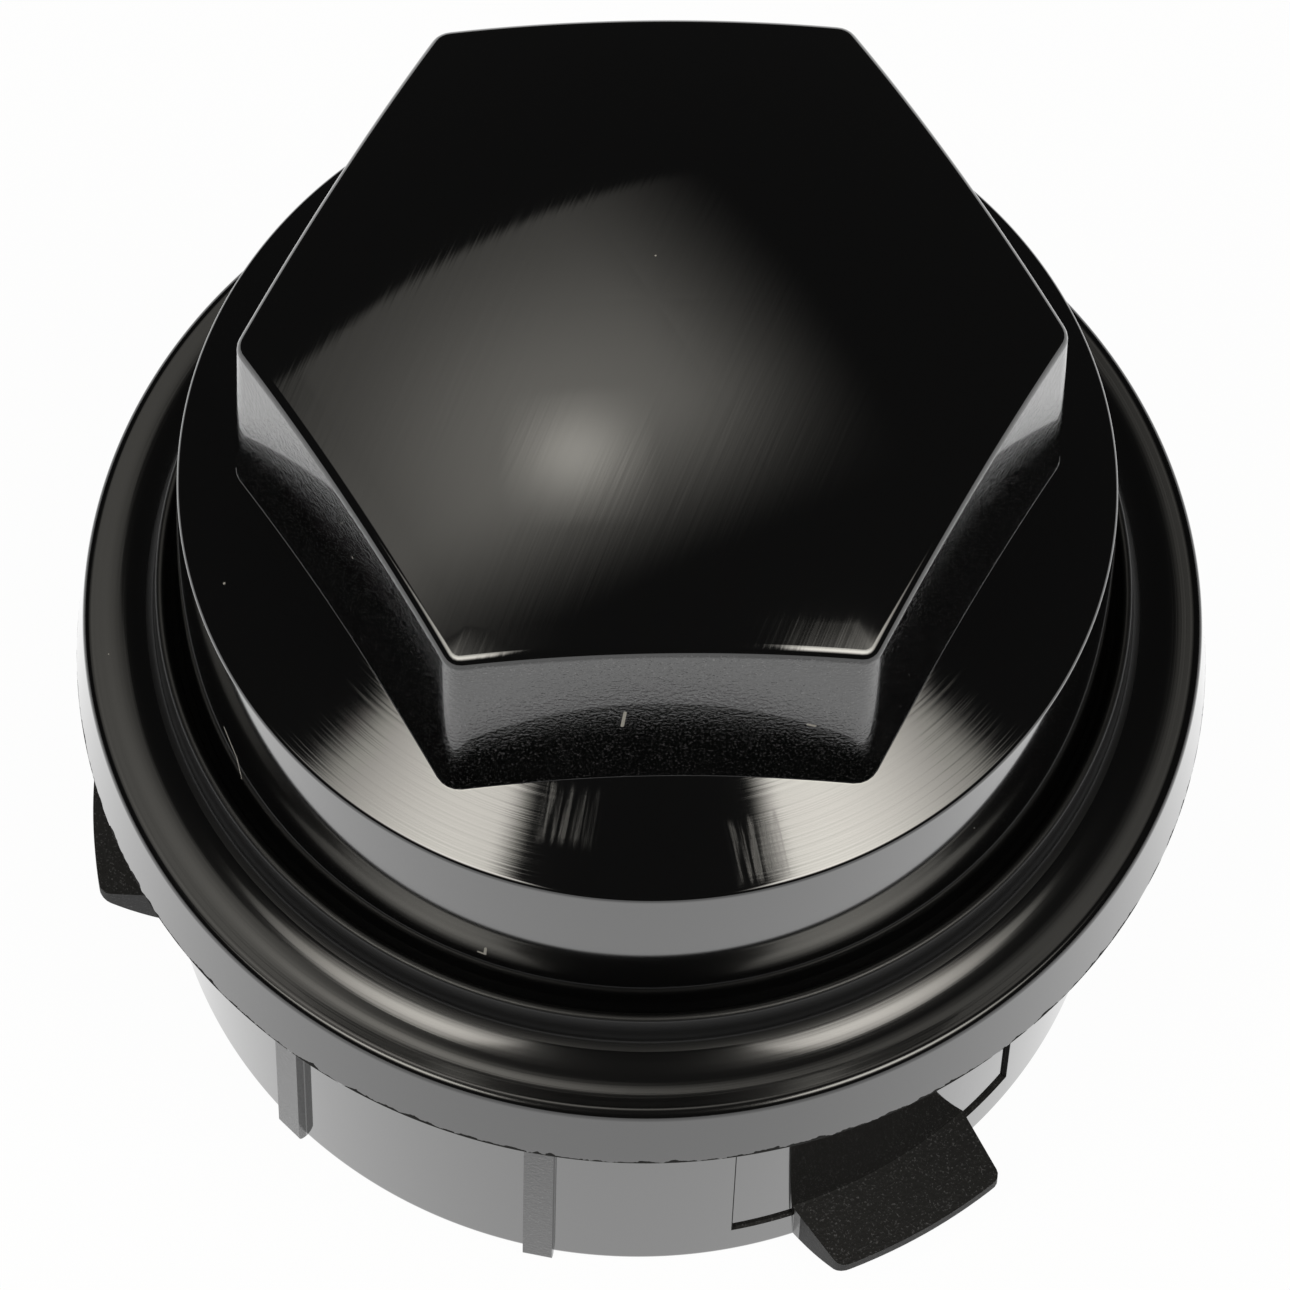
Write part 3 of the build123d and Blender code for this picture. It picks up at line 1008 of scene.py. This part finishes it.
def cap_material(scene):
    """Black plastic: glassy skin, grained hexagon, matte tabs and ribs, fine marks and a little dust."""
    finish = scene.cap_finish
    material = bpy.data.materials.new(MATERIAL_NAME)
    material.use_nodes = True
    tree = material.node_tree
    tree.nodes.clear()
    kit = NodeTree(tree)
    place = kit.add("ShaderNodeTexCoord").outputs["Object"]
    zone = cap_zones(kit, scene, place)

    patches = noise(kit, place, PATCH_SIZE)
    rings = kit.add("ShaderNodeTexNoise", {
        "W": zone.radius,
        "Scale": 1 / finish.ring_spacing,
    }, noise_dimensions="1D").outputs[0]
    turned = kit.add("ShaderNodeMapping", {
        "Vector": place,
        "Rotation": (0.0, 0.0, STREAK_TURN),
        "Scale": (1.0, STREAK_STRETCH, STREAK_STRETCH),
    }, vector_type="TEXTURE").outputs[0]
    streaks = noise(kit, turned, finish.streak_width)
    scratches = 0.0
    for rubbed in RUBBED_PLACES:
        scratches = kit.math("MAXIMUM", scratches, rubbed_place(kit, place, *rubbed))
    dust = dust_specks(kit, place)
    for start, end in FIBRE_ENDS:
        dust = kit.math("MAXIMUM", dust, fibre(kit, place, start, end))

    def height_of(pattern, mask, depth):
        """Height of a pattern within its mask."""
        return kit.math("MULTIPLY", kit.math("MULTIPLY", pattern, mask), depth)

    grain = noise(kit, place, finish.spark_grain)
    matte_grain = noise(kit, place, finish.matte_grain)
    matte = kit.math("MAXIMUM", zone.tab, zone.rib)
    reliefs = (
        height_of(grain, zone.spark, finish.spark_height),
        height_of(matte_grain, matte, finish.matte_height),
        height_of(kit.math("MULTIPLY", rings, patches), zone.turned, finish.ring_height),
        height_of(kit.math("MULTIPLY", streaks, patches), zone.crown, finish.streak_height),
    )
    relief = reliefs[0]
    for more in reliefs[1:]:
        relief = kit.math("ADD", relief, more)
    bump = kit.add("ShaderNodeBump", {"Strength": 1.0, "Distance": 1.0, "Height": relief})

    smoothest = finish.gloss_roughness - PATCH_ROUGHNESS / 2
    rough = kit.math("MULTIPLY_ADD", patches, PATCH_ROUGHNESS, smoothest)
    dull = 0.0
    # Each zone has its roughness, and the share of the glassy skin that it lacks
    finishes = (
        (zone.spark, finish.spark_roughness, 0.5),
        (zone.bead, finish.bead_roughness, 0.6),
        (zone.crest, finish.crest_roughness, 1.0),
        (zone.rib, finish.rib_roughness, 0.75),
        (zone.tab, finish.matte_roughness, 1.0),
        (scratches, finish.scratch_roughness, 0.8),
        (zone.shade, 1.0, 1.0),
        (dust, finish.matte_roughness, 1.0),
    )
    for mask, roughness, dulled in finishes:
        rough = kit.math("MULTIPLY_ADD", mask, kit.math("SUBTRACT", roughness, rough), rough)
        dull = kit.math("MAXIMUM", dull, kit.math("MULTIPLY", mask, dulled))
    grained = kit.math("MAXIMUM", zone.spark, matte)
    bright = ramp(kit, noise(kit, place, LIGHT_GRAIN_SIZE), *LIGHT_GRAIN_LIMITS)
    plain = kit.add("ShaderNodeMix", {
        "Factor": kit.math("MULTIPLY", bright, grained),
        6: (*finish.colour, 1.0),
        7: (*finish.grain_colour, 1.0),
    }, data_type="RGBA").outputs[2]
    colour = kit.add("ShaderNodeMix", {
        "Factor": dust,
        6: plain,
        7: (*finish.dust_colour, 1.0),
    }, data_type="RGBA").outputs[2]
    plastic = kit.add("ShaderNodeBsdfPrincipled", {
        "Base Color": colour,
        "Roughness": rough,
        "IOR": finish.refraction,
        "Coat Weight": kit.math("SUBTRACT", 1.0, dull),
        "Coat Roughness": finish.coat_roughness,
        "Coat IOR": finish.refraction,
        "Normal": bump.outputs[0],
    })
    end = kit.add("ShaderNodeOutputMaterial")
    tree.links.new(plastic.outputs[0], end.inputs["Surface"])
    return material


def floor_material(stage):
    """Pale floor that shows white, with a faint shadow."""
    material = bpy.data.materials.new("white floor")
    material.use_nodes = True
    tree = material.node_tree
    tree.nodes.clear()
    kit = NodeTree(tree)
    path = kit.add("ShaderNodeLightPath").outputs
    seen = kit.math("MAXIMUM", path["Is Camera Ray"], path["Is Glossy Ray"])
    seen = kit.math("MAXIMUM", seen, path["Is Transmission Ray"])
    white = kit.add("ShaderNodeEmission", {"Color": (1.0, 1.0, 1.0, 1.0), "Strength": 1.0})
    paint = kit.add("ShaderNodeBsdfDiffuse", {"Color": (*stage.floor_colour, 1.0)})
    mixed = kit.add("ShaderNodeMixShader", {
        0: kit.math("MULTIPLY", seen, stage.floor_white),
        1: paint.outputs[0],
        2: white.outputs[0],
    })
    end = kit.add("ShaderNodeOutputMaterial")
    tree.links.new(mixed.outputs[0], end.inputs["Surface"])
    return material


def round_floor(stage):
    """Round floor under the cap."""
    turns = ring_turns()
    points = [(stage.floor_radius * cos(turn), stage.floor_radius * sin(turn), 0.0) for turn in turns]
    mesh = bpy.data.meshes.new("floor")
    mesh.from_pydata(points, [], [tuple(range(RING_POINTS))])
    mesh.update()
    mesh.materials.append(floor_material(stage))
    return new_object("floor", mesh)


def lamp_panel(stage, name, middle, size, turn, brightness, hot, reach, base, borders, drop=0.0):
    """Level lamp overhead that shines down; places and sizes are for one metre of height.

    Its face is brightest at the hot place, fades with the reach to the base share of that brightness,
    and fades out over the borders, which are shares of its size: left, right, near and far. It hangs
    lower than the others by the drop, which is a share of their height.
    """
    height = stage.lamp_height * (1 - drop)
    light = bpy.data.lights.new(name, "AREA")
    light.shape = "RECTANGLE"
    light.size = size[0] * height
    light.size_y = size[1] * height
    light.energy = brightness * pi * light.size * light.size_y
    light.color = stage.lamp_colour
    light.use_nodes = True
    kit = NodeTree(light.node_tree)
    spot = kit.add("ShaderNodeNewGeometry").outputs["Parametric"]
    face = kit.add("ShaderNodeSeparateXYZ", {0: spot}).outputs
    across = face["X"]
    along = face["Y"]
    away = Matrix.Rotation(-turn, 2) @ (Vector(hot) - Vector(middle))
    step_across = kit.math("MULTIPLY_ADD", across, size[0] / reach, -(size[0] / 2 + away[0]) / reach)
    step_along = kit.math("MULTIPLY_ADD", along, size[1] / reach, -(size[1] / 2 + away[1]) / reach)
    square_along = kit.math("MULTIPLY", step_along, step_along)
    squares = kit.math("MULTIPLY_ADD", step_across, step_across, square_along)
    glow = kit.math("EXPONENT", kit.math("MULTIPLY", squares, -1.0))
    strength = kit.math("MULTIPLY_ADD", glow, 1 - base, base)
    for place, border, edge in zip((across, across, along, along), borders, (0.0, 1.0, 0.0, 1.0)):
        fade = kit.add("ShaderNodeMapRange", {
            "Value": place,
            "From Min": edge,
            "From Max": border if edge == 0 else 1 - border,
        }, interpolation_type="SMOOTHSTEP")
        strength = kit.math("MULTIPLY", strength, fade.outputs[0])
    kit.feed(light.node_tree.nodes["Emission"].inputs["Strength"], strength)
    lamp = bpy.data.objects.new(name, light)
    bpy.context.scene.collection.objects.link(lamp)
    seat = Vector((middle[0], middle[1], 1.0)) * height
    lamp.matrix_world = Matrix.Translation(seat) @ Matrix.Rotation(turn, 4, "Z")


def dim_room(stage):
    """World that is almost dark, so that only the lamps and the floor show in the plastic."""
    world = bpy.data.worlds.new("dim room")
    world.use_nodes = True
    background = world.node_tree.nodes["Background"]
    background.inputs["Color"].default_value = (*stage.room_colour, 1.0)
    background.inputs["Strength"].default_value = 1.0
    return world


def studio_camera(stage):
    """Camera that looks down at the cap."""
    data = bpy.data.cameras.new("camera")
    data.lens = stage.camera_lens
    data.clip_start = stage.camera_distance / 10
    camera = bpy.data.objects.new("camera", data)
    bpy.context.scene.collection.objects.link(camera)
    flat = cos(stage.camera_elevation)
    back = Vector((
        flat * sin(stage.camera_azimuth),
        -flat * cos(stage.camera_azimuth),
        sin(stage.camera_elevation),
    ))
    turned = back.to_track_quat("Z", "Y").to_matrix().to_4x4()
    rolled = turned @ Matrix.Rotation(stage.camera_roll, 4, "Z")
    seat = Vector(stage.camera_aim) + back * stage.camera_distance
    camera.matrix_world = Matrix.Translation(seat) @ rolled
    bpy.context.scene.camera = camera


class CAP_OT_stage(bpy.types.Operator):
    """Make the floor, the lamps and the camera"""

    bl_idname = "cap.stage"
    bl_label = "Floor, lamps and camera"

    def execute(self, context):
        scene = context.scene
        stage = scene.cap_stage
        round_floor(stage)
        for lamp in LAMPS:
            lamp_panel(stage, **lamp)
        scene.world = dim_room(stage)
        studio_camera(stage)
        scene.view_settings.view_transform = "Standard"
        return {"FINISHED"}


class CAP_PT_sidebar(bpy.types.Panel):
    """Sidebar with the cap's sizes and steps"""

    bl_idname = "CAP_PT_sidebar"
    bl_label = "Wheel nut cover cap"
    bl_space_type = "VIEW_3D"
    bl_region_type = "UI"
    bl_category = "Nut cap"

    def draw(self, context):
        for operator in OPERATORS:
            self.layout.operator(operator.bl_idname)
        for name in PROPERTY_GROUPS:
            group = getattr(context.scene, name)
            box = self.layout.box()
            for key in group.__annotations__:
                box.prop(group, key)


OPERATORS = (CAP_OT_body, CAP_OT_skirt_fittings, CAP_OT_stage)
PROPERTY_GROUPS = {
    "cap_head": CapHeadSizes,
    "cap_flange": CapFlangeSizes,
    "cap_skirt": CapSkirtSizes,
    "cap_inside": CapInsideSizes,
    "cap_finish": CapFinish,
    "cap_stage": CapStage,
}


def register():
    """Adds the classes and the scene's settings."""
    for group in PROPERTY_GROUPS.values():
        bpy.utils.register_class(group)
    for operator in OPERATORS:
        bpy.utils.register_class(operator)
    bpy.utils.register_class(CAP_PT_sidebar)
    for name, group in PROPERTY_GROUPS.items():
        setattr(bpy.types.Scene, name, PointerProperty(type=group))


def unregister():
    """Removes them again."""
    for name in PROPERTY_GROUPS:
        delattr(bpy.types.Scene, name)
    bpy.utils.unregister_class(CAP_PT_sidebar)
    for operator in reversed(OPERATORS):
        bpy.utils.unregister_class(operator)
    for group in reversed(PROPERTY_GROUPS.values()):
        bpy.utils.unregister_class(group)


def main():
    """Builds the cap and its stage."""
    register()
    bpy.ops.cap.body()
    bpy.ops.cap.skirt_fittings()
    bpy.ops.cap.stage()


if __name__ == "__main__":
    main()
